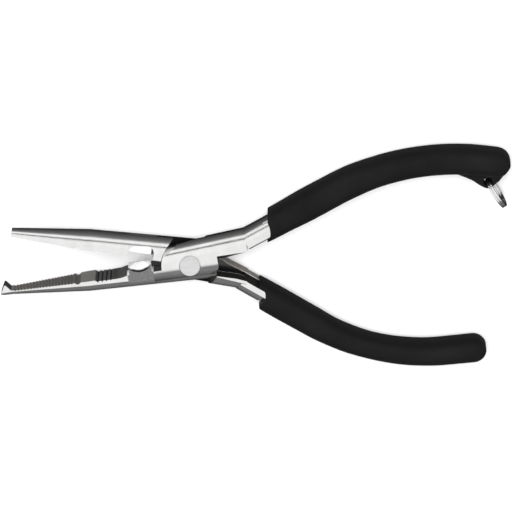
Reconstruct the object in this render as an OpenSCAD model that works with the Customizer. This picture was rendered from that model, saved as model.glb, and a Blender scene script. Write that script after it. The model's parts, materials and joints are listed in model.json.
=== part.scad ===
// Long-nose fishing pliers with a split-ring tooth, bypass side cutter, dipped grips and a lanyard ring.
// Frame: the pliers lie flat, +Z along the pivot, +X towards the handles, +Y towards the upper handle.
// The origin is on the pivot axis, in the plane that the rivet head and both grips rest on.
// Each lever is drawn closed, its gripping line on the X axis, and is then turned by its opening angle.

/* [Joint] */
// Thickness across both levers at the joint
joint_t = 11.4; // [9:0.2:13]
// Play between the two half-thickness plates
plate_gap = 0.1; // [0.05:0.01:0.2]
// Radius of each lever's round boss
boss_r = 9.8; // [9:0.1:10.5]
// Gap between a boss and the other lever's shoulder
shoulder_gap = 0.3; // [0.2:0.05:0.5]
// Angle of the upper jaw above the centre line
open_upper = 8.5; // [4:0.5:10]
// Angle of the lower jaw below the centre line
open_lower = 9.3; // [4:0.1:10]

/* [Rivet] */
// Diameter of the rivet's shank
shank_d = 6; // [4:0.1:6.5]
// Diameter of the rivet's ground heads
head_d = 7.4; // [7:0.1:9]
// Height of each head above the lever
head_h = 0.6; // [0.3:0.1:1]
// Depth of the seat that each head sits in
head_seat = 0.8; // [0.5:0.1:1.5]
// Radial running clearance in the moving lever
bore_play = 0.04; // [0.02:0.01:0.1]

/* [Jaws] */
// Distance from the pivot to the jaw tips
nose_l = 62.3; // [56:0.1:68]
// Half of the gap between the closed gripping faces
face_gap = 0.15; // [0.1:0.01:0.3]
// Thickness of the nose at the tip
tip_t = 5.2; // [4:0.1:6]
// Radius of the rounded backs, slightly over half of the joint's thickness
back_r = 5.9; // [5.8:0.1:8]
// Pitch of the fine serrations
fine_pitch = 1.1; // [0.8:0.1:2]
// Depth of the fine serrations
fine_depth = 0.35; // [0.2:0.05:0.5]
// Pitch of the coarse teeth
coarse_pitch = 1.5; // [1.2:0.1:2]
// Height of the split-ring tooth above the lower gripping face
tooth_h = 2; // [1.5:0.1:3]

/* [Cutter] */
// Height of the lower blade above the gripping line
blade_h = 2.5; // [2:0.1:3]
// Distance from the pivot to the blade's near end
blade_x = 13.3; // [12.8:0.1:14]
// Length of the blade
blade_l = 7.8; // [6:0.1:8]
// Depth of the milled flat beside the cutter
mill_depth = 0.65; // [0.4:0.05:1]

/* [Grips] */
// Width of the upper grip
upper_grip_w = 9.2; // [9:0.1:12]
// Width of the lower grip
lower_grip_w = 8.2; // [8.2:0.1:11]
// Corner radius of the grip section
grip_corner = 3.8; // [3:0.1:4]
// Distance from the pivot to the upper grip's mouth, along the centre line
upper_mouth_x = 27.3; // [26:0.1:30]
// Distance from the pivot to the lower grip's mouth, along the centre line
lower_mouth_x = 24.4; // [24:0.1:28]
// Width of a lever's neck where it enters its grip
neck_w = 6.4; // [5.6:0.1:6.6]
// Thickness of the neck there
neck_t = 10.6; // [9:0.1:10.8]
// Width of the tang inside the grip
tang_w = 5.2; // [4:0.1:5.6]
// Thickness of the tang inside the grip
tang_t = 6.4; // [5:0.1:7]

/* [Lanyard ring] */
// Diameter of the hole in the upper grip's lug
eye_d = 3.2; // [3:0.1:3.4]
// Thickness of the lug
lug_t = 5; // [4:0.1:5.2]
// Outer diameter of the split ring
ring_od = 12; // [11.4:0.1:12]
// Radial width of the ring's wire
wire_w = 1; // [0.8:0.1:1]
// Thickness of one turn of the ring
wire_t = 0.8; // [0.6:0.05:0.8]

/* [Hidden] */

steel = [0.78, 0.78, 0.77];
rivet_steel = [0.86, 0.86, 0.85];
ring_steel = [0.7, 0.7, 0.69];
vinyl = [0.09, 0.09, 0.1];

round_fn = 72;
eps = 0.01;
far = 200;
half_t = joint_t / 2;
mid_z = half_t + head_h;
// The grips are as thick as the joint over both rivet heads, so that all of them rest on a table
grip_t = joint_t + 2 * head_h;
shoulder_r = boss_r + shoulder_gap;

// Height of each jaw at its tip, in the middle and at the pivot
upper_jaw_h = [2.6, 5.85, 7.8];
lower_jaw_h = [2.2, 5.1, 6.9];

// A jaw's side flats narrow from the middle of the nose to the tip
step_x = -blade_x - blade_l - 0.6;
nose_overlap = 0.5;
nose_mid_x = -36;
nose_t = joint_t - 0.4;
nose_mid_t = nose_t - 0.3;
tip_back_r = 2.9;

// Fine serrations run between these distances, counted from the tip and from the pivot
fine_start = 1.2;
fine_end = -41;
// Round relief between the fine serrations and the smooth pad: place, radius, rise into the jaw
relief_x = -39.2;
relief_r = 1.1;
relief_rise = 0.6;
// Hollow beside the cutter, and its coarse teeth
hollow = [[-33, 0.4], [-26, 0.6], [-24, 0.5]];
coarse_x = -32.2;
coarse_count = 4;
coarse_depth = 0.9;

// Inner edge of the neck: on the plate that carries the pivot, and on the other half
plate_neck_in = [[0, 0], [9.35, 2.1], [11.5, 1.6], [13.2, 0.6], [20.4, -1.9]];
far_neck_in = [[5, -2.4], [16.5, -2.4], [20.4, -2.9]];

// Outer edge of each neck: its height below the axis in front of and behind the boss
neck_back_x = [-14, 18.5];
upper_neck_h = [6.4, 8.5];
lower_neck_h = [6.4, 7.25];
// The neck's flats narrow between these distances from the pivot
neck_taper_x = [10, 22];
// Length of the straight neck in front of the path's start and inside the grip
neck_run = 8.4;
neck_in = 6;
neck_corner = 0.8;
// The far half of the neck's inner face leans outwards by this much
neck_lean = 1.1;

// A grip's centre line, closed, below the axis:
// [start, heading, straight length, bend radius, bend angle, straight length after the bend]
upper_path = [[28, -8.1], -20.4, 26.9, 84, 36.8699, 3.4];
lower_path = [[26.1, -7.66], -22.4, 22.6, 72, 36.8699, 9.7];
// How far a grip's form starts before its path, to be cut off at the mouth
grip_lead = 4;
// Angle left at the end of each bend that the tang doesn't reach
tang_stop = 6;

// Lug and eye at the end of the upper grip
eye = [105.65, -12.7];
lug_r = 2.5;
lug_top = [[95.5, -18], [113.4, -17.6]];

// Ring: its plane holds the eye's axis and this direction from the eye to the ring's far side
ring_heading = -57.3;
ring_mean_r = (ring_od - wire_w) / 2;

// A round bar along X whose upper line passes [x1, h1] and [x2, h2], from back before x1 to on past x2
module round_bar(x1, h1, r1, x2, h2, r2, back, on) {
    slope = (h2 - r2 - h1 + r1) / (x2 - x1);
    taper = (r2 - r1) / (x2 - x1);
    length = (x2 - x1 + back + on) / cos(atan(slope));
    translate([x1 - back, h1 - r1 - back * slope, 0])
        rotate([0, 0, atan(slope)])
            rotate([0, 90, 0])
                cylinder(h = length, r1 = r1 - back * taper, r2 = r2 + on * taper, $fn = round_fn);
}

// A flat shape between two heights
module slab(z1, z2) {
    translate([0, 0, z1]) linear_extrude(z2 - z1) children();
}

// A V groove across a gripping face, its bottom up inside the jaw
module v_groove(x, pitch, depth) {
    translate([x, face_gap, 0])
        slab(-far / 2, far / 2)
            polygon([[-pitch / 2, -eps], [0, depth], [pitch / 2, -eps]]);
}

// Nose of a jaw, from the tip to the step beside the cutter
module nose(jaw_h) {
    intersection() {
        translate([-nose_l, face_gap, -half_t])
            cube([nose_l + step_x + nose_overlap, jaw_h[2] * 2, joint_t]);
        rotate([90, 0, 0])
            slab(-far / 2, far / 2)
                polygon([
                    [-nose_l, -tip_t / 2], [nose_mid_x, -nose_mid_t / 2], [0, -nose_t / 2],
                    [0, nose_t / 2], [nose_mid_x, nose_mid_t / 2], [-nose_l, tip_t / 2]
                ]);
        round_bar(-nose_l, jaw_h[0], tip_back_r, nose_mid_x, jaw_h[1], back_r, 3, 30);
    }
}

// Everything under a rounded back: a round bar, and all that lies below its axis
module under_back(x1, h1, x2, h2, reach) {
    slope = (h2 - h1) / (x2 - x1);
    round_bar(x1, h1, back_r, x2, h2, back_r, reach, reach);
    slab(-far / 2, far / 2)
        polygon([
            [x1 - reach, h1 - back_r - reach * slope], [x2 + reach, h2 - back_r + reach * slope],
            [x2 + reach, -far], [x1 - reach, -far]
        ]);
}

// Limit of the jaw's root and of the joint above the axis
module jaw_back(jaw_h) {
    under_back(nose_mid_x, jaw_h[1], 0, jaw_h[2], 40);
}

// Limit of the neck and of the joint below the axis
module neck_back(neck_h) {
    mirror([0, 1, 0]) under_back(neck_back_x[0], neck_h[0], neck_back_x[1], neck_h[1], 50);
}

// Flat sides of a lever, which come closer along the neck
module lever_sides() {
    rotate([90, 0, 0])
        slab(-far / 2, far / 2)
            polygon([
                [-far / 2, -half_t], [neck_taper_x[0], -half_t], [neck_taper_x[1], -neck_t / 2],
                [far / 2, -neck_t / 2], [far / 2, neck_t / 2], [neck_taper_x[1], neck_t / 2],
                [neck_taper_x[0], half_t], [-far / 2, half_t]
            ]);
}

// Grooves that are milled across a gripping face
module face_grooves() {
    for (x = [fine_start - nose_l : fine_pitch : fine_end]) v_groove(x, fine_pitch, fine_depth);
    translate([relief_x, face_gap + relief_rise - relief_r, 0])
        cylinder(h = far, r = relief_r, center = true, $fn = round_fn);
    for (i = [0 : coarse_count - 1])
        v_groove(coarse_x + i * coarse_pitch, coarse_pitch, coarse_depth);
    translate([0, face_gap, 0])
        slab(-far / 2, far / 2)
            polygon(concat([[hollow[0][0], -eps]], hollow, [[step_x, -eps]]));
}

// The half-thickness plate that carries the pivot, seen closed
module plate_outline() {
    circle(r = boss_r, $fn = round_fn);
    polygon([[step_x, face_gap], [-boss_r, face_gap], [0, 0], [0, boss_r], [step_x, boss_r]]);
    neck_outline(plate_neck_in);
}

// The other half of the thickness, which leaves room for the second lever's plate
module far_outline() {
    difference() {
        union() {
            polygon([[step_x, face_gap], [0, face_gap], [0, boss_r], [step_x, boss_r]]);
            neck_outline(far_neck_in);
        }
        circle(r = shoulder_r, $fn = round_fn);
    }
}

// The neck between a given inner edge and its outer edge
module neck_outline(inner) {
    neck_x = inner[len(inner) - 1][0];
    polygon(concat(inner, [[neck_x, -boss_r], [0, -boss_r]]));
}

// Straight end of the neck, which runs on inside the grip
module neck_end(path) {
    at_path_start(path)
        rotate([90, 0, 90])
            translate([0, 0, -neck_run]) linear_extrude(neck_run + neck_in) neck_section();
}

// Section of the neck: a round outer edge, and an inner face that leans on the far half
module neck_section() {
    inner = neck_w / 2 - 0.1;
    outer = inner - neck_w;
    intersection() {
        translate([outer + back_r, 0]) circle(r = back_r, $fn = round_fn);
        union() {
            polygon([
                [outer, -neck_t / 2], [inner - neck_corner, -neck_t / 2],
                [inner, neck_corner - neck_t / 2], [inner, 0],
                [inner - neck_lean, neck_t / 2], [outer, neck_t / 2]
            ]);
            translate([inner - neck_corner, neck_corner - neck_t / 2])
                circle(r = neck_corner, $fn = round_fn);
        }
    }
}

// The start of a path, X along the handle
module at_path_start(path) {
    translate([path[0][0], path[0][1], 0]) rotate([0, 0, path[1]]) children();
}

// A child section swept along X from lead before the start, then round the path's bend by an angle
module sweep(path, turn, lead) {
    rotate([90, 0, 90]) translate([0, 0, -lead]) linear_extrude(lead + path[2]) children();
    translate([path[2], path[3], 0])
        rotate([0, 0, -90])
            rotate_extrude(angle = turn, $fn = round_fn * 4)
                translate([path[3], 0]) children();
}

// Where the path's bend ends, X onwards
module at_bend_end(path) {
    translate([path[2], path[3], 0])
        rotate([0, 0, path[4]])
            translate([0, -path[3], 0]) children();
}

// Tang inside the grip
module tang(path) {
    at_path_start(path) sweep(path, path[4] - tang_stop, 0) square([tang_w, tang_t], center = true);
}

// Section of a grip
module grip_section(width) {
    r = grip_corner;
    square([width - 2 * r, grip_t], center = true);
    square([width, grip_t - 2 * r], center = true);
    for (x = [-1, 1], y = [-1, 1])
        translate([x * (width / 2 - r), y * (grip_t / 2 - r)]) circle(r = r, $fn = round_fn);
}

// Solid form of a grip, with its round end
module grip_form(path, width) {
    at_path_start(path) {
        sweep(path, path[4], grip_lead) grip_section(width);
        at_bend_end(path) {
            rotate([90, 0, 90]) linear_extrude(path[5]) grip_section(width);
            translate([path[5], 0, 0])
                rotate([0, 0, -90])
                    rotate_extrude(angle = 180, $fn = round_fn)
                        intersection() {
                            grip_section(width);
                            translate([0, -grip_t]) square([width, 2 * grip_t]);
                        }
        }
    }
}

// Everything in front of a grip's mouth, square to the centre line of the open pliers
module mouth_cut(mouth_x, opening) {
    rotate([0, 0, opening]) translate([mouth_x - far, -far / 2, -far / 2]) cube(far);
}

// One forged lever, closed, with its jaw above the axis and its handle below
module lever(path, jaw_h, neck_h, play) {
    difference() {
        union() {
            intersection() {
                union() {
                    difference() {
                        nose(jaw_h);
                        face_grooves();
                    }
                    slab(-half_t, -plate_gap / 2) plate_outline();
                    slab(-plate_gap / 2 - eps, half_t) far_outline();
                }
                jaw_back(jaw_h);
                neck_back(neck_h);
                lever_sides();
            }
            neck_end(path);
            tang(path);
        }
        cylinder(h = far, d = shank_d + 2 * play, center = true, $fn = round_fn);
        translate([0, 0, -half_t - 1])
            cylinder(h = 1 + head_seat + play, d = head_d + 2 * play, $fn = round_fn);
    }
}

// Room in the upper jaw for the lower blade, deeper towards the joint, with a round corner there
module blade_pocket() {
    far_x = step_x - 0.1;
    near_x = -blade_x + 0.4;
    depth = [blade_h + 1.3, blade_h + 2.1];
    corner = 2.2;
    slab(-plate_gap / 2, far) {
        polygon([
            [far_x, -1], [far_x, depth[0]], [near_x - corner, depth[1]],
            [near_x, depth[1] - corner], [near_x, -1]
        ]);
        translate([near_x - corner, depth[1] - corner]) circle(r = corner, $fn = round_fn);
    }
}

// Lower blade, closed, drawn as part of the upper-jaw form before the lever is turned over
module blade() {
    far_x = -blade_x - blade_l;
    dish_r = 4.6;
    dish_low = 0.6;
    fall = atan((blade_h - dish_low) / half_t);
    difference() {
        translate([far_x, -blade_h, -half_t]) cube([blade_l, blade_h + 1, half_t - plate_gap / 2]);
        // Scoop that falls from the cutting edge at the joint's mid-plane to the front face
        translate([(far_x - blade_x) / 2, -blade_h, 0])
            rotate([fall, 0, 0])
                translate([0, -dish_r, -3 * half_t]) cylinder(h = 4 * half_t, r = dish_r, $fn = round_fn);
    }
}

// The front face beside the cutter is milled flat, a little below the joint's face
module cutter_flat() {
    translate([step_x, -far / 2, -half_t - 1])
        cube([-blade_x + 0.5 - step_x, far, 1 + mill_depth]);
}

// Hooked tooth that opens split rings, in front of the upper jaw's tip
module ring_tooth() {
    low = lower_jaw_h[0];
    root = 0.4;
    // Distances out from the tip
    inner_foot = 0.4;
    inner_top = 1.9;
    outer_top = 2.4;
    outer_foot = 4;
    intersection() {
        slab(-tip_t / 2, tip_t / 2)
            polygon([
                [root - nose_l, low], [root - nose_l, face_gap], [-nose_l, face_gap],
                [-nose_l - inner_foot, face_gap - 0.1], [-nose_l - inner_top, -tooth_h],
                [-nose_l - outer_top, -tooth_h], [-nose_l - outer_foot, low - 1.2],
                [-nose_l - outer_foot + 0.2, low - 0.7], [-nose_l, low]
            ]);
        translate([-nose_l - 5, low - tip_back_r, 0])
            rotate([0, 90, 0]) cylinder(h = 10, r = tip_back_r, $fn = round_fn);
    }
}

// Slanted inner face of the web between the boss and the neck, from the front face to the mid-plane
module web_slant() {
    front_y = -1.9;
    mid_y = 1;
    length = 14;
    translate([boss_r - 0.1, 0, 0])
        rotate([90, 0, 90])
            linear_extrude(length)
                polygon([
                    [front_y, -half_t], [mid_y, 0], [boss_r, 0],
                    [boss_r, -half_t - 1], [front_y, -half_t - 1]
                ]);
}

module front_lever() {
    color(steel)
        translate([0, 0, mid_z])
            rotate([0, 0, open_lower])
                rotate([180, 0, 0]) {
                    difference() {
                        union() {
                            lever(upper_path, lower_jaw_h, upper_neck_h, 0);
                            blade();
                        }
                        cutter_flat();
                        web_slant();
                    }
                    ring_tooth();
                }
}

module rear_lever() {
    color(steel)
        translate([0, 0, mid_z])
            rotate([0, 0, -open_upper])
                difference() {
                    lever(lower_path, upper_jaw_h, lower_neck_h, bore_play);
                    blade_pocket();
                }
}

// Rivet with two ground heads, tight in the front lever
module pivot_rivet() {
    chamfer = 0.25;
    under_head = head_h + head_seat;
    color(rivet_steel)
        rotate_extrude($fn = round_fn)
            polygon([
                [0, 0], [head_d / 2 - chamfer, 0], [head_d / 2, chamfer], [head_d / 2, under_head],
                [shank_d / 2, under_head], [shank_d / 2, grip_t - under_head],
                [head_d / 2, grip_t - under_head], [head_d / 2, grip_t - chamfer],
                [head_d / 2 - chamfer, grip_t], [0, grip_t]
            ]);
}

module upper_grip() {
    color(vinyl)
        translate([0, 0, mid_z])
            rotate([0, 0, open_lower])
                rotate([180, 0, 0])
                    difference() {
                        union() {
                            grip_form(upper_path, upper_grip_w);
                            lug();
                        }
                        tang(upper_path);
                        neck_end(upper_path);
                        mouth_cut(upper_mouth_x, open_lower);
                        translate([eye[0], eye[1], 0])
                            cylinder(h = far, d = eye_d, center = true, $fn = round_fn);
                    }
}

// Lug below the end of the upper grip, rounded about the eye
module lug() {
    slab(-lug_t / 2, lug_t / 2) {
        translate(eye) circle(r = lug_r, $fn = round_fn);
        polygon([
            lug_top[0], eye + lug_r * [cos(125), sin(125)], eye + lug_r * [cos(90), sin(90)],
            eye + lug_r * [cos(50), sin(50)], lug_top[1]
        ]);
    }
}

module lower_grip() {
    color(vinyl)
        translate([0, 0, mid_z])
            rotate([0, 0, -open_upper])
                difference() {
                    grip_form(lower_path, lower_grip_w);
                    tang(lower_path);
                    neck_end(lower_path);
                    mouth_cut(lower_mouth_x, open_upper);
                }
}

// Two turns of flat wire, shown by a groove between them and a slit through each
module split_ring() {
    groove = 0.15;
    slit = 0.5;
    eye_place = [
        eye[0] * cos(open_lower) + eye[1] * sin(open_lower),
        eye[0] * sin(open_lower) - eye[1] * cos(open_lower)
    ];
    color(ring_steel)
        translate([eye_place[0], eye_place[1], mid_z])
            rotate([0, 0, ring_heading])
                translate([ring_mean_r, 0, 0])
                    rotate([90, 0, 0])
                        difference() {
                            cylinder(h = 2 * wire_t, d = ring_od, center = true, $fn = round_fn);
                            cylinder(h = far, d = ring_od - 2 * wire_w, center = true, $fn = round_fn);
                            for (x = [ring_od / 2, ring_od / 2 - wire_w])
                                rotate_extrude($fn = round_fn)
                                    polygon([[x - groove, 0], [x, groove], [x + groove, 0], [x, -groove]]);
                            rotate([0, 0, 40]) translate([0, -slit / 2, 0]) cube([far, slit, far]);
                            rotate([0, 0, 60]) translate([0, -slit / 2, -far]) cube([far, slit, far]);
                        }
}

front_lever();
rear_lever();
pivot_rivet();
upper_grip();
lower_grip();
split_ring();
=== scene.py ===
import json
import math

import bmesh
import bpy
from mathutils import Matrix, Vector


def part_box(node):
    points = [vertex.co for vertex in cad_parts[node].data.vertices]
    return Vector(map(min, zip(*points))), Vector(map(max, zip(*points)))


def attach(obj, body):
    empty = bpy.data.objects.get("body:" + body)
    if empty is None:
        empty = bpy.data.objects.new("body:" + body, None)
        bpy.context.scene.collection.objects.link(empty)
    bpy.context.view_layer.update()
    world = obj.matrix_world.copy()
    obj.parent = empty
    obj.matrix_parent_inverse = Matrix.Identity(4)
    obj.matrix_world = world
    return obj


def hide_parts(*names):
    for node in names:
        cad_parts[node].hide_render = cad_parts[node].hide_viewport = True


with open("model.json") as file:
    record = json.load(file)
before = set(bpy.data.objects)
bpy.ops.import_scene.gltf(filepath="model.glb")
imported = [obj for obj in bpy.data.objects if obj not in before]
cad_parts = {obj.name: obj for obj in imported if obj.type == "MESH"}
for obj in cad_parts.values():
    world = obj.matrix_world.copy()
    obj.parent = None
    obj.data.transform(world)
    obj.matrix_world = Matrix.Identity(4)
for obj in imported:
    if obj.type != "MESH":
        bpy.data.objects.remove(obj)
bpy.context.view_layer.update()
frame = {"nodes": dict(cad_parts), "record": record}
record = frame["record"]
nodes = frame["nodes"]

MM = 0.001
TILT = math.radians(20)

# Opening of each lever from the centre line, which is where a closed lever's X axis lies
OPEN_LOWER = math.radians(9.3)
OPEN_UPPER = math.radians(8.5)
# Height of the joint's mid-plane
MID_Z = (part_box("pivot_rivet")[0].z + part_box("pivot_rivet")[1].z) / 2
MID_MM = 1000 * MID_Z

# Where a lever's finish, painted shade or painted highlights change, in millimetres from the pivot along
# its own X axis
FACE_START = -62.6
PAD_START = -38.2
HOLLOW_START = -33.1
HOLLOW_END = -21.9
CUTTER_START = -21.95
CUTTER_END = -12.75
MILLED_STEP = -12.8
LAP_START = -12.7
LAP_END = 30.0
NECK_START = 9.0
PAST_LEVER = 60.0
ABOVE_ALL = 40.0
SCOOP_CENTRE = (-17.2, -5.3)
POCKET_SLOPE = 0.09

# Grips, in millimetres: half their thickness, the stretch before the mouth that is cut off, the power of
# their rounded section, and half the height of a cut that goes right through
GRIP_HALF = 6.3
MOUTH_LEAD = 4
SECTION_POWER = 2.7
THROUGH = 12


# ---------- camera, floor and light ----------

def link(obj):
    bpy.context.scene.collection.objects.link(obj)
    return obj


def camera():
    """A long lens above the pliers, tilted towards +Y."""
    centre = Vector((22.76 * MM, 1.55 * MM, MID_Z))
    distance = 1.9
    view_width = 176.55 * MM
    data = bpy.data.cameras.new("camera")
    cam = link(bpy.data.objects.new("camera", data))
    cam.location = centre + distance * Vector((0, math.sin(TILT), math.cos(TILT)))
    cam.rotation_euler = (-TILT, 0, 0)
    data.sensor_width = 36
    data.lens = data.sensor_width * distance / view_width
    data.clip_start = 0.1
    data.clip_end = 10
    bpy.context.scene.camera = cam


def floor():
    size = 1.5
    corners = [(-size, -size, 0), (size, -size, 0), (size, size, 0), (-size, size, 0)]
    mesh = bpy.data.meshes.new("floor")
    mesh.from_pydata(corners, [], [(0, 1, 2, 3)])
    obj = link(bpy.data.objects.new("floor", mesh))
    mat = bpy.data.materials.new("floor_white")
    mat.use_nodes = True
    shader = mat.node_tree.nodes["Principled BSDF"]
    shader.inputs["Base Color"].default_value = (0.93, 0.93, 0.93, 1)
    shader.inputs["Roughness"].default_value = 0.9
    shader.inputs["Specular IOR Level"].default_value = 0.1
    mesh.materials.append(mat)
    obj.visible_glossy = False


def studio_world():
    """A light tent along X: white overhead, dark towards the sides, with one thin strip on the +Y side."""
    world = bpy.data.worlds.new("studio")
    bpy.context.scene.world = world
    world.use_nodes = True
    tree = world.node_tree
    coord = tree.nodes.new("ShaderNodeTexCoord")
    split = tree.nodes.new("ShaderNodeSeparateXYZ")
    tree.links.new(coord.outputs["Generated"], split.inputs[0])
    angle = tree.nodes.new("ShaderNodeMath")
    angle.operation = "ARCTAN2"
    tree.links.new(split.outputs["Y"], angle.inputs[0])
    tree.links.new(split.outputs["Z"], angle.inputs[1])
    share = tree.nodes.new("ShaderNodeMapRange")
    share.inputs["From Min"].default_value = -math.pi
    share.inputs["From Max"].default_value = math.pi
    tree.links.new(angle.outputs[0], share.inputs["Value"])
    ramp = tree.nodes.new("ShaderNodeValToRGB")
    # Angle from straight up towards +Y in degrees, and brightness there
    bands = [
        (-180, 0.04), (-140, 0.05), (-95, 0.2), (-60, 0.19), (-38, 1.0), (0, 1.06), (50, 1.1),
        (55, 0.1), (60, 0.1), (66, 1.2), (80, 1.1), (90, 0.2), (120, 0.1), (150, 0.04), (180, 0.04),
    ]
    while len(ramp.color_ramp.elements) < len(bands):
        ramp.color_ramp.elements.new(0.5)
    for element, (degrees, level) in zip(ramp.color_ramp.elements, bands):
        element.position = degrees / 360 + 0.5
        element.color = (level, level, level, 1)
    tree.links.new(share.outputs["Result"], ramp.inputs["Fac"])
    background = tree.nodes["Background"]
    background.inputs["Strength"].default_value = 1.0
    tree.links.new(ramp.outputs["Color"], background.inputs["Color"])


def soft_light(name, place, width, energy):
    data = bpy.data.lights.new(name, "AREA")
    data.shape = "SQUARE"
    data.size = width
    data.energy = energy
    lamp = link(bpy.data.objects.new(name, data))
    lamp.location = place
    lamp.rotation_euler = (Vector((0, 0, 0)) - Vector(place)).to_track_quat("-Z", "Y").to_euler()
    lamp.visible_glossy = False


# ---------- material helpers ----------

def new_material(name, **values):
    """A material whose Principled sockets hold these constant values."""
    mat = bpy.data.materials.new(name)
    mat.use_nodes = True
    shader = mat.node_tree.nodes["Principled BSDF"]
    for socket, value in values.items():
        shader.inputs[socket.replace("_", " ")].default_value = value
    return mat, mat.node_tree, shader


def add(tree, kind, inputs=None, **settings):
    """A node with some of its settings and inputs given; an input is a value or another node's output."""
    made = tree.nodes.new("ShaderNode" + kind)
    for key, value in settings.items():
        setattr(made, key, value)
    for key, value in (inputs or {}).items():
        if isinstance(value, bpy.types.NodeSocket):
            tree.links.new(value, made.inputs[key])
        else:
            made.inputs[key].default_value = value
    return made


def maths(tree, operation, a, b=0.0):
    return add(tree, "Math", {0: a, 1: b}, operation=operation).outputs[0]


def product(tree, first, *others):
    """All of these multiplied together."""
    for other in others:
        first = maths(tree, "MULTIPLY", first, other)
    return first


def mix(tree, factor, a, b):
    """Colour a, turning to b with the factor."""
    made = add(tree, "Mix", data_type="RGBA")
    for socket, value in ((0, factor), (6, a), (7, b)):
        if isinstance(value, bpy.types.NodeSocket):
            tree.links.new(value, made.inputs[socket])
        else:
            made.inputs[socket].default_value = value
    return made.outputs[2]


def smooth_step(tree, value, low, high, low_result=0.0, high_result=1.0):
    """One result up to low, easing to the other from high on."""
    ends = {0: value, 1: low, 2: high, 3: low_result, 4: high_result}
    return add(tree, "MapRange", ends, interpolation_type="SMOOTHSTEP").outputs[0]


def band(tree, value, low, high, soft):
    """1 where low < value < high, with soft edges."""
    up = smooth_step(tree, value, low - soft, low + soft)
    down = smooth_step(tree, value, high - soft, high + soft, 1.0, 0.0)
    return product(tree, up, down)


def scaled(tree, coordinates, scale, turn=0.0):
    """Coordinates turned about Z, then stretched."""
    return add(tree, "Mapping", {0: coordinates, 2: (0, 0, turn), 3: scale}).outputs[0]


def noise(tree, coordinates, size, detail=3.0, rough=0.55):
    """Noise between 0 and 1, with features of about this size in metres."""
    inputs = {"Vector": coordinates, "Scale": 1 / size, "Detail": detail, "Roughness": rough}
    return add(tree, "TexNoise", inputs).outputs["Fac"]


def to_range(tree, value, low, high, new_low, new_high):
    return add(tree, "MapRange", {0: value, 1: low, 2: high, 3: new_low, 4: new_high}).outputs[0]


def grey(level, warm=0.0):
    """A grey of this brightness, turned a little towards orange where warm is above 0."""
    return (level * (1 + warm), level, level * (1 - warm), 1)


def patchy(tree, patches, dark, light):
    """A mottled grey between two (level, warmth) pairs."""
    return mix(tree, patches, grey(*dark), grey(*light))


def bump(tree, height, strength, distance, under=None):
    """A bump on top of another one, if that is given."""
    inputs = {"Strength": strength, "Distance": distance, "Height": height}
    if under:
        inputs["Normal"] = under
    return add(tree, "Bump", inputs).outputs[0]


# ---------- materials ----------

def lever_places(tree, turn, is_front):
    """Place in the lever's closed frame, in millimetres, and how far a face looks inward and up."""
    coord = add(tree, "TexCoord")
    own = scaled(tree, coord.outputs["Object"], (1000, 1000, 1000), turn)
    turned = {"Vector": coord.outputs["Normal"], "Angle": turn}
    facing = add(tree, "VectorRotate", turned, rotation_type="Z_AXIS")
    x, y, z = add(tree, "SeparateXYZ", {0: own}).outputs
    normal = add(tree, "SeparateXYZ", {0: facing.outputs[0]})
    if is_front:
        y = maths(tree, "MULTIPLY", y, -1.0)
    inward = maths(tree, "MULTIPLY", normal.outputs["Y"], 1.0 if is_front else -1.0)
    return (x, y, z), inward, normal.outputs["Z"]


def gripping_face(tree, x, y, inward):
    """Masks: the ground face, its smooth pad, its toothed hollow, which takes painted shade, and the
    hollow's flank, painted near black as the shade between the teeth.
    """
    near_line = band(tree, y, -0.5, 1.3, 0.15)
    faces_in = smooth_step(tree, inward, 0.25, 0.45)
    whole = product(tree, near_line, faces_in, band(tree, x, FACE_START, HOLLOW_END, 0.05))
    pad = product(tree, whole, band(tree, x, PAD_START, HOLLOW_START, 0.2))
    hollow = product(tree, whole, band(tree, x, HOLLOW_START, HOLLOW_END, 0.12))
    flank_shade = product(tree, hollow, band(tree, y, 0.75, 3.0, 0.12))
    return whole, pad, hollow, flank_shade


def neck_inside(tree, x, y, z, inward):
    """Masks: the neck's rough inner face, the upper part that leans, which takes painted shade, and the
    ridge under that, which the rear lever paints as a bright highlight.
    """
    faces_out = to_range(tree, inward, -0.75, -0.6, 1.0, 0.0)
    along = band(tree, x, NECK_START, PAST_LEVER, 1.0)
    whole = product(tree, faces_out, along, band(tree, y, -6.5, 3.2, 0.2))
    lean = product(tree, whole, band(tree, z, MID_MM + 0.1, ABOVE_ALL, 0.05))
    ridge_highlight = product(tree, whole, band(tree, z, MID_MM - 0.5, MID_MM + 0.1, 0.08))
    return whole, lean, ridge_highlight


def cutter(tree, x, y, z, upward):
    """Masks: the bypass cutter's milled side, the scoop over its edge, where a bright highlight is painted,
    and the scoop's rim, where shade is painted near black.
    """
    at_cutter = band(tree, x, CUTTER_START, CUTTER_END, 0.05)
    flat_up = to_range(tree, upward, 0.93, 0.97, 0.0, 1.0)
    milled = product(tree, at_cutter, band(tree, z, 10.9, 11.7, 0.05), flat_up)
    scoop = product(tree, at_cutter, band(tree, y, -2.7, 0.9, 0.1))
    scoop = product(tree, scoop, band(tree, z, MID_MM + 0.2, 11.6, 0.1))
    scoop = product(tree, scoop, maths(tree, "SUBTRACT", 1.0, flat_up))
    across = maths(tree, "SUBTRACT", x, SCOOP_CENTRE[0])
    up = maths(tree, "SUBTRACT", y, SCOOP_CENTRE[1])
    spread = maths(tree, "ADD", product(tree, across, across), product(tree, up, up))
    rim_shade = band(tree, maths(tree, "SQRT", spread), 4.3, 5.0, 0.12)
    rim_shade = product(tree, rim_shade, maths(tree, "MAXIMUM", scoop, milled), band(tree, y, -1.7, 9.0, 0.3))
    return milled, scoop, rim_shade


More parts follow.
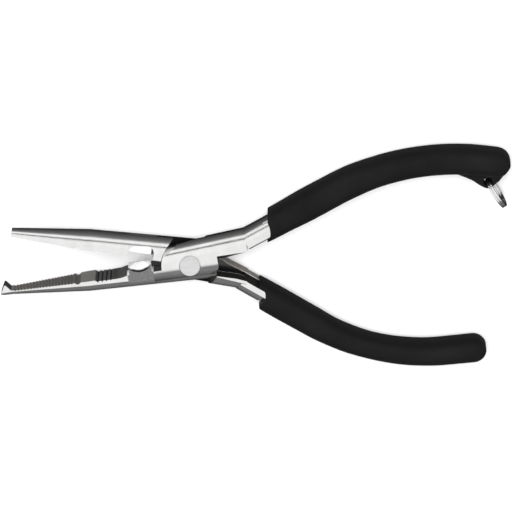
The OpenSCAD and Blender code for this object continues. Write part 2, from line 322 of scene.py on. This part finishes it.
def blade_pocket(tree, x, y, mid):
    """Masks: the floor of the pocket that takes the blade, where a bright highlight is painted, and the
    corner under its walls, where shade is painted near black.
    """
    base = product(tree, band(tree, x, CUTTER_START, CUTTER_END, 0.05), mid)
    from_wall_start = maths(tree, "ADD", x, 21.8)
    wall = maths(tree, "SUBTRACT", y, maths(tree, "MULTIPLY", from_wall_start, POCKET_SLOPE))
    corner = maths(tree, "MAXIMUM", band(tree, wall, 3.35, 9.0, 0.15), band(tree, x, -13.7, 0.0, 0.15))
    return base, corner


def lever_steel(name, turn, is_front):
    """Polished steel with ground gripping faces. The front lever has the cutter, the rear its pocket.
    Painted shade darkens the toothed hollow, the leaning neck, the lap faces, the scoop's rim and the
    pocket's corner; painted highlights brighten the scoop, the pocket floor and the rear neck's ridge.
    """
    mat, tree, shader = new_material(name, Metallic=1.0, Roughness=0.2)
    place = add(tree, "TexCoord").outputs["Object"]
    (x, y, z), inward, upward = lever_places(tree, turn, is_front)
    on_face, pad, hollow, flank_shade = gripping_face(tree, x, y, inward)
    inner_neck, lean, ridge_highlight = neck_inside(tree, x, y, z, inward)
    mid = band(tree, z, MID_MM - 0.4, MID_MM + 0.4, 0.05)
    lap = product(tree, mid, band(tree, x, LAP_START, LAP_END, 0.1))
    deep = band(tree, x, -40.0, 8.0, 1.0)

    cloud = noise(tree, place, 6 * MM, 4.0)
    patches = to_range(tree, noise(tree, place, 0.7 * MM, 5.0, 0.7), 0.3, 0.7, 0, 1)
    polished = mix(tree, to_range(tree, cloud, 0.3, 0.7, 0, 1), grey(0.76, 0.008), grey(0.84, 0.003))
    # Painted shade: near-black steel for the leaning upper inner neck and the lap faces at the mid-plane,
    # blackest from x -40 to 8 mm
    shadowed = mix(tree, deep, patchy(tree, patches, (0.04, 0.03), (0.07, 0.03)), grey(0.008))
    colour = mix(tree, on_face, polished, patchy(tree, patches, (0.12, 0.06), (0.18, 0.05)))
    colour = mix(tree, pad, colour, patchy(tree, patches, (0.2, 0.06), (0.3, 0.04)))
    # Painted shade: darker steel in the toothed hollow, and near black on its flank between the teeth
    colour = mix(tree, hollow, colour, patchy(tree, patches, (0.08, 0.02), (0.15, 0.02)))
    colour = mix(tree, maths(tree, "MULTIPLY", flank_shade, 0.75), colour, grey(0.012))
    colour = mix(tree, inner_neck, colour, patchy(tree, patches, (0.5, 0.07), (0.95, 0.07)))
    colour = mix(tree, lean, colour, shadowed)
    colour = mix(tree, lap, colour, shadowed)
    if is_front:
        milled, painted_light_and_shade, rim_shade = cutter(tree, x, y, z, upward)
        colour = mix(tree, milled, colour, patchy(tree, patches, (0.17,), (0.25,)))
        # Painted highlight: near-white, mostly non-metallic colour on the scoop in place of the bright
        # reflection in its dish
        colour = mix(tree, painted_light_and_shade, colour, grey(0.95))
        # Painted shade: a near-black ring along the scoop's rim
        colour = mix(tree, rim_shade, colour, grey(0.02))
    else:
        base, corner = blade_pocket(tree, x, y, mid)
        painted_light_and_shade = maths(tree, "MAXIMUM", base, ridge_highlight)
        # Painted highlight and painted shade: the pocket floor near white and nearly matte, the corner
        # under its walls near black
        colour = mix(tree, base, colour, mix(tree, corner, grey(0.98), grey(0.05)))
        # Painted highlight: a near-white line along the rear neck's ridge at the mid-plane
        colour = mix(tree, ridge_highlight, colour, grey(0.95))
    tree.links.new(colour, shader.inputs["Base Color"])
    rolled = rolled_edge(tree, x, y) if is_front else None
    lever_finish(tree, shader, turn, (on_face, inner_neck, painted_light_and_shade), rolled)
    return mat


def lever_finish(tree, shader, turn, masks, rolled):
    """How metallic, how rough and how grained the steel is, duller where it is ground or rough, and nearly
    matte under the painted highlights and painted shade of the scoop, the blade pocket and the rear neck's
    ridge.
    """
    on_face, inner_neck, painted_light_and_shade = masks
    place = add(tree, "TexCoord").outputs["Object"]
    grain_across = noise(tree, scaled(tree, place, (1, 0.06, 1), turn), 0.25 * MM, 3.0)
    grain_along = noise(tree, scaled(tree, place, (0.05, 1, 1), turn), 0.3 * MM, 3.0)
    matte = maths(tree, "MAXIMUM", maths(tree, "MAXIMUM", on_face, inner_neck), painted_light_and_shade)
    dullness = maths(tree, "MULTIPLY", painted_light_and_shade, 0.85)
    dullness = maths(tree, "MAXIMUM", dullness, maths(tree, "MULTIPLY", on_face, 0.6))
    dullness = maths(tree, "MAXIMUM", dullness, maths(tree, "MULTIPLY", inner_neck, 0.15))
    tree.links.new(maths(tree, "SUBTRACT", 1.0, dullness), shader.inputs["Metallic"])
    rough = to_range(tree, grain_along, 0.3, 0.7, 0.13, 0.24)
    rough = add(tree, "Mix", {0: matte, 2: rough, 3: 0.5}).outputs[0]
    tree.links.new(rough, shader.inputs["Roughness"])
    height = add(tree, "Mix", {0: matte, 2: grain_along, 3: grain_across}).outputs[0]
    surface = bump(tree, height, 0.12, 0.03 * MM)
    if rolled:
        surface = bump(tree, rolled, 1.0, 1.0, surface)
    tree.links.new(surface, shader.inputs["Normal"])


def rolled_edge(tree, x, y):
    """Height in metres by which a lever's flat side is rolled off towards the back of its jaw."""
    ease = 1.5
    reach = 3.0
    steepest = math.radians(21)
    past = maths(tree, "SUBTRACT", y, to_range(tree, x, -11.0, 10.0, -0.3, 0.0))
    early = to_range(tree, past, 0.0, ease, 0.0, ease)
    early = product(tree, product(tree, early, early), 0.5 / ease)
    late = to_range(tree, past, ease, ease + reach, 0.0, reach)
    fall = product(tree, maths(tree, "ADD", early, late), -math.tan(steepest) * MM)
    return product(tree, fall, band(tree, x, MILLED_STEP, 14.0, 0.04))


def rivet_steel():
    """Ground rivet head: fine straight grinding lines and a slightly duller tone than the lever."""
    mat, tree, shader = new_material("rivet_steel", Metallic=1.0, Roughness=0.3)
    place = add(tree, "TexCoord").outputs["Object"]
    lines = noise(tree, scaled(tree, place, (0.04, 1, 1), math.radians(-35)), 0.16 * MM, 4.0)
    cloud = noise(tree, place, 3 * MM)
    colour = mix(tree, to_range(tree, lines, 0.3, 0.7, 0, 1), grey(0.64), grey(0.76))
    tree.links.new(colour, shader.inputs["Base Color"])
    rough = to_range(tree, cloud, 0.3, 0.7, 0.24, 0.36)
    tree.links.new(rough, shader.inputs["Roughness"])
    tree.links.new(bump(tree, lines, 0.2, 0.02 * MM), shader.inputs["Normal"])
    return mat


def grip_vinyl():
    """Dipped vinyl: near black, matte, with a fine leathery skin, faint long runs and rubbed patches."""
    mat, tree, shader = new_material("grip_vinyl", Roughness=0.62)
    shader.inputs["Specular IOR Level"].default_value = 0.2
    shader.inputs["Sheen Weight"].default_value = 0.02
    place = add(tree, "TexCoord").outputs["Object"]
    skin = noise(tree, place, 0.45 * MM, 4.0, 0.6)
    runs = noise(tree, scaled(tree, place, (0.25, 1, 1)), 5 * MM, 2.0)
    rubbed = noise(tree, place, 14 * MM, 5.0, 0.65)
    tone = mix(tree, to_range(tree, rubbed, 0.35, 0.7, 0, 1), grey(0.002, -0.03), grey(0.004, -0.03))
    tree.links.new(tone, shader.inputs["Base Color"])
    rough = to_range(tree, rubbed, 0.3, 0.7, 0.68, 0.55)
    tree.links.new(rough, shader.inputs["Roughness"])
    waves = bump(tree, runs, 0.25, 0.25 * MM)
    tree.links.new(bump(tree, skin, 0.35, 0.05 * MM, waves), shader.inputs["Normal"])
    return mat


def ring_steel():
    """Bright nickel-plated spring steel, with fine drawing lines."""
    mat, tree, shader = new_material("ring_steel", Metallic=1.0, Roughness=0.16)
    place = add(tree, "TexCoord").outputs["Object"]
    lines = noise(tree, place, 0.3 * MM, 3.0)
    colour = mix(tree, to_range(tree, lines, 0.3, 0.7, 0, 1), grey(0.7, 0.01), grey(0.85))
    tree.links.new(colour, shader.inputs["Base Color"])
    rough = to_range(tree, lines, 0.3, 0.7, 0.1, 0.24)
    tree.links.new(rough, shader.inputs["Roughness"])
    return mat


# ---------- shapes ----------

def mesh_object(name, verts, faces, smooth=True):
    mesh = bpy.data.meshes.new(name)
    mesh.from_pydata([tuple(v) for v in verts], [], faces)
    mesh.validate()
    for face in mesh.polygons:
        face.use_smooth = smooth
    return link(bpy.data.objects.new(name, mesh))


def apply_modifiers(obj):
    bpy.context.view_layer.update()
    depsgraph = bpy.context.evaluated_depsgraph_get()
    mesh = bpy.data.meshes.new_from_object(obj.evaluated_get(depsgraph))
    old = obj.data
    obj.modifiers.clear()
    obj.data = mesh
    bpy.data.meshes.remove(old)
    mesh.name = obj.name


def smooth_value(stops, at):
    """A value between stops of (place, value), eased from each to the next."""
    for (a, va), (b, vb) in zip(stops, stops[1:]):
        if at <= b:
            t = max(0.0, min(1.0, (at - a) / (b - a)))
            return va + (vb - va) * t * t * (3 - 2 * t)
    return stops[-1][1]


class GripPath:
    """A grip's centre line in its lever's closed frame, in millimetres: straight, bent, then straight."""

    def __init__(self, start, heading, straight, radius, bend, tail):
        self.start = Vector((start[0], start[1]))
        self.heading = math.radians(heading)
        self.straight = straight
        self.radius = radius
        self.bend = math.radians(bend)
        self.tail = tail
        self.length = straight + radius * self.bend + tail

    def at(self, s):
        """Point and heading at this distance along the path."""
        turned = min(max((s - self.straight) / self.radius, 0), self.bend)
        local = Vector((min(s, self.straight), 0))
        local += self.radius * Vector((math.sin(turned), 1 - math.cos(turned)))
        past = max(s - self.straight - self.radius * self.bend, 0)
        local += past * Vector((math.cos(turned), math.sin(turned)))
        c, n = math.cos(self.heading), math.sin(self.heading)
        point = self.start + Vector((local.x * c - local.y * n, local.x * n + local.y * c))
        return point, self.heading + turned


def section(half_width, half_height, count):
    """A rounded section, as (across, up) pairs, starting at +across."""
    points = []
    for i in range(count):
        a = 2 * math.pi * i / count
        c, s = math.cos(a), math.sin(a)
        points.append((
            half_width * math.copysign(abs(c) ** (2 / SECTION_POWER), c),
            half_height * math.copysign(abs(s) ** (2 / SECTION_POWER), s),
        ))
    return points


def tube_sides(rings, count):
    """The quads between so many rings of count points each."""
    sides = []
    for r in range(rings - 1):
        for i in range(count):
            j = (i + 1) % count
            sides.append([r * count + i, r * count + j, (r + 1) * count + j, (r + 1) * count + i])
    return sides


def grip_body(name, path, widths, to_row):
    """The grip as a lofted closed form with a round end. Widths are (share of length, half width) stops."""
    count = 56
    steps = 110
    end_steps = 15
    end_drop = 2.6
    rings = []
    for i in range(steps + 1):
        s = -MOUTH_LEAD + (path.length + MOUTH_LEAD) * i / steps
        rings.append((s, smooth_value(widths, s / path.length), GRIP_HALF))
    end_half = widths[-1][1]
    for i in range(1, end_steps):
        a = math.radians(90 * i / end_steps)
        height = GRIP_HALF - end_drop * (1 - math.cos(a))
        rings.append((path.length + end_half * math.sin(a), end_half * math.cos(a), height))
    verts = []
    for s, half, height in rings:
        point, heading = path.at(s)
        across = Vector((-math.sin(heading), math.cos(heading)))
        for u, v in section(half, height, count):
            p = point + across * u
            verts.append(to_row(p.x, p.y, v))
    faces = [list(range(count))[::-1]]
    faces += tube_sides(len(rings), count)
    faces.append([(len(rings) - 1) * count + i for i in range(count)])
    obj = mesh_object(name, verts, faces)
    fix_normals(obj)
    return obj


def fix_normals(obj):
    work = bmesh.new()
    work.from_mesh(obj.data)
    bmesh.ops.recalc_face_normals(work, faces=work.faces)
    work.to_mesh(obj.data)
    work.free()


def prism(name, outline, half_height, to_row):
    """A flat plate with this outline, in a lever's closed frame."""
    count = len(outline)
    verts = [to_row(x, y, z) for z in (-half_height, half_height) for x, y in outline]
    faces = [list(range(count))[::-1], list(range(count, 2 * count))]
    for i in range(count):
        j = (i + 1) % count
        faces.append([i, j, count + j, count + i])
    obj = mesh_object(name, verts, faces, smooth=False)
    fix_normals(obj)
    return obj


def boolean(obj, other, operation):
    modifier = obj.modifiers.new("cut", "BOOLEAN")
    modifier.operation = operation
    modifier.solver = "EXACT"
    modifier.object = other
    apply_modifiers(obj)
    mesh = other.data
    bpy.data.objects.remove(other)
    bpy.data.meshes.remove(mesh)


def soften(obj, voxel, rounds):
    """One even skin over everything, with its corners melted as a dipped coat's are."""
    remesh = obj.modifiers.new("skin", "REMESH")
    remesh.mode = "VOXEL"
    remesh.voxel_size = voxel
    remesh.use_smooth_shade = True
    melt = obj.modifiers.new("melt", "SMOOTH")
    melt.factor = 0.5
    melt.iterations = rounds
    apply_modifiers(obj)


def circle_points(x, y, radius, from_deg, to_deg, count):
    """An arc of count + 1 points."""
    points = []
    for i in range(count + 1):
        a = math.radians(from_deg + (to_deg - from_deg) * i / count)
        points.append((x + radius * math.cos(a), y + radius * math.sin(a)))
    return points


def ellipse_points(x, y, half_x, half_y):
    points = []
    for degrees in range(0, 360, 15):
        a = math.radians(degrees)
        points.append((x + half_x * math.cos(a), y + half_y * math.sin(a)))
    return points


def mouth_block(mouth_x):
    """Everything in front of a grip's mouth."""
    xs, ys, zs = (mouth_x - 40, mouth_x), (-60, 60), (-20, 40)
    corners = [(x * MM, y * MM, z * MM) for x in xs for y in ys for z in zs]
    faces = [(0, 1, 3, 2), (4, 6, 7, 5), (0, 4, 5, 1), (2, 3, 7, 6), (0, 2, 6, 4), (1, 5, 7, 3)]
    obj = mesh_object("mouth_cut", corners, faces, smooth=False)
    fix_normals(obj)
    return obj


def open_mouth(grip, mouth_x, hollow, to_row):
    """Cuts the mouth square to X, with its edge hollow over the neck's flat sides."""
    boolean(grip, mouth_block(mouth_x), "DIFFERENCE")
    boolean(grip, prism("scallop", ellipse_points(*hollow), THROUGH, to_row), "DIFFERENCE")


def open_to_row(x, y, z):
    """The pliers' own frame, counted from the joint's mid-plane."""
    return Vector((x, y, z)) * MM + Vector((0, 0, MID_Z))


def upper_to_row(x, y, z):
    """The front lever's closed frame: turned over, then opened."""
    c, s = math.cos(OPEN_LOWER), math.sin(OPEN_LOWER)
    return Vector((x * c + y * s, x * s - y * c, -z)) * MM + Vector((0, 0, MID_Z))


def lower_to_row(x, y, z):
    """The rear lever's closed frame, opened."""
    c, s = math.cos(-OPEN_UPPER), math.sin(-OPEN_UPPER)
    return Vector((x * c - y * s, x * s + y * c, z)) * MM + Vector((0, 0, MID_Z))


def upper_grip(material):
    path = GripPath((28, -8.1), -20.4, 26.9, 84, 36.87, 3.4)
    widths = [
        (-0.05, 4.75), (0.06, 5.0), (0.2, 5.4), (0.38, 5.3), (0.52, 4.95), (0.66, 4.85), (0.85, 4.85),
        (1.0, 4.8),
    ]
    grip = grip_body("upper_grip_skin", path, widths, upper_to_row)
    # Lug under the end, rounded about the eye
    eye_x, eye_y = 105.65, -12.7
    eye_radius, lug_radius, lug_half = 1.6, 2.5, 3.0
    lug = [(94.5, -18.5), (96.3, -16.6), (98.5, -15.3), (100.6, -13.9), (102.4, -12.1)]
    lug += circle_points(eye_x, eye_y, lug_radius, 125, 50, 8)
    lug += [(110.0, -12.6), (112.8, -14.6), (114.2, -18.2), (108, -21), (98, -22.5)]
    boolean(grip, prism("lug", lug, lug_half, upper_to_row), "UNION")
    # The end slants in towards the lug
    slant = [(112.5, 38.9), (102.1, 23.9), (115, 23.9), (115, 38.9)]
    boolean(grip, prism("slant", slant, THROUGH, open_to_row), "DIFFERENCE")
    open_mouth(grip, 26.7, (28.3, -8.3, 1.0, 3.2), upper_to_row)
    soften(grip, 0.33 * MM, 7)
    hole = circle_points(eye_x, eye_y, eye_radius, 0, 345, 23)
    boolean(grip, prism("eye", hole, THROUGH, upper_to_row), "DIFFERENCE")
    finish_piece(grip, material, "front_half", "grip_vinyl", "upper_grip")


def lower_grip(material):
    path = GripPath((25.92, -8.12), -22.4, 22.6, 72, 36.87, 9.9)
    widths = [
        (-0.05, 4.75), (0.1, 4.9), (0.25, 4.8), (0.4, 4.4), (0.55, 4.15), (0.75, 4.3), (0.9, 4.45),
        (1.0, 4.5),
    ]
    grip = grip_body("lower_grip_skin", path, widths, lower_to_row)
    open_mouth(grip, 23.8, (25.4, -7.9, 2.1, 3.0), lower_to_row)
    soften(grip, 0.33 * MM, 7)
    finish_piece(grip, material, "rear_half", "grip_vinyl", "lower_grip")


def finish_piece(obj, material, body, slot, *replaced):
    obj.data.materials.clear()
    obj.data.materials.append(material)
    for face in obj.data.polygons:
        face.material_index = 0
        face.use_smooth = True
    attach(obj, body)
    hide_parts(*replaced)


def wire_section(width, thickness, corner):
    """A rectangle with rounded corners, as (out, along) pairs."""
    points = []
    for sx, sy, first in ((1, 1, 0), (-1, 1, 90), (-1, -1, 180), (1, -1, 270)):
        cx, cy = sx * (width / 2 - corner), sy * (thickness / 2 - corner)
        for i in range(4):
            a = math.radians(first + 30 * i)
            points.append((cx + corner * math.cos(a), cy + corner * math.sin(a)))
    return points


def split_ring(material):
    """Two turns of flat wire, wound side by side, with one short crossing and two bevelled ends."""
    low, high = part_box("split_ring")
    centre = (low + high) / 2
    joints = {joint["name"]: joint for joint in record["behaviour"]["joints"]}
    eye = Vector(joints["ring_swing"]["pos_m"])
    mean_radius = 5.5 * MM
    half_pitch = 0.4 * MM
    start, stop, steps = 17, 703, 260
    cross_at, cross_half = 360, 14
    start_turn = 205
    end_thin, bevel_length = 0.45, 9
    out = centre - eye
    out.z = 0
    out.normalize()
    up = Vector((0, 0, 1))
    axis = out.cross(up).normalized()
    profile = wire_section(1.0 * MM, 0.78 * MM, 0.16 * MM)
    count = len(profile)
    verts = []
    for i in range(steps + 1):
        degrees = start + (stop - start) * i / steps
        side = max(0, min(1, (degrees - cross_at + cross_half) / (2 * cross_half)))
        offset = (side * side * (3 - 2 * side) * 2 - 1) * half_pitch
        from_end = min(i, steps - i) * (stop - start) / steps
        thin = end_thin + (1 - end_thin) * min(1, from_end / bevel_length)
        a = math.radians(degrees + start_turn)
        radial = out * math.cos(a) + up * math.sin(a)
        for u, v in profile:
            verts.append(centre + radial * (mean_radius + u) + axis * (offset + v * thin))
    faces = [list(range(count))[::-1], [steps * count + i for i in range(count)]]
    faces += tube_sides(steps + 1, count)
    ring = mesh_object("split_ring_wire", verts, faces)
    fix_normals(ring)
    finish_piece(ring, material, "lanyard_ring", "ring_steel", "split_ring")
    set_sharp(ring, 50)


def set_sharp(obj, degrees):
    """Smooth shading, with edges steeper than this kept sharp."""
    limit = math.radians(degrees)
    work = bmesh.new()
    work.from_mesh(obj.data)
    for edge in work.edges:
        edge.smooth = len(edge.link_faces) != 2 or edge.calc_face_angle(0) < limit
    work.to_mesh(obj.data)
    work.free()


def dress_lever(obj, material):
    """Gives a CAD lever its steel, soft ground edges and clean shading."""
    obj.data.materials.clear()
    obj.data.materials.append(material)
    bevel = obj.modifiers.new("ground_edges", "BEVEL")
    bevel.width = 0.16 * MM
    bevel.segments = 2
    bevel.limit_method = "ANGLE"
    bevel.angle_limit = math.radians(35)
    bevel.harden_normals = True
    bevel.use_clamp_overlap = True


bpy.context.scene.view_settings.view_transform = "Standard"
camera()
floor()
studio_world()
soft_light("key", (-0.3, 0.7, 1.6), width=1.8, energy=36)

steel_front = lever_steel("front_lever_steel", -OPEN_LOWER, is_front=True)
steel_rear = lever_steel("rear_lever_steel", OPEN_UPPER, is_front=False)
dress_lever(nodes["front_lever"], steel_front)
dress_lever(nodes["rear_lever"], steel_rear)
dress_lever(nodes["pivot_rivet"], rivet_steel())
vinyl = grip_vinyl()
upper_grip(vinyl)
lower_grip(vinyl)
split_ring(ring_steel())
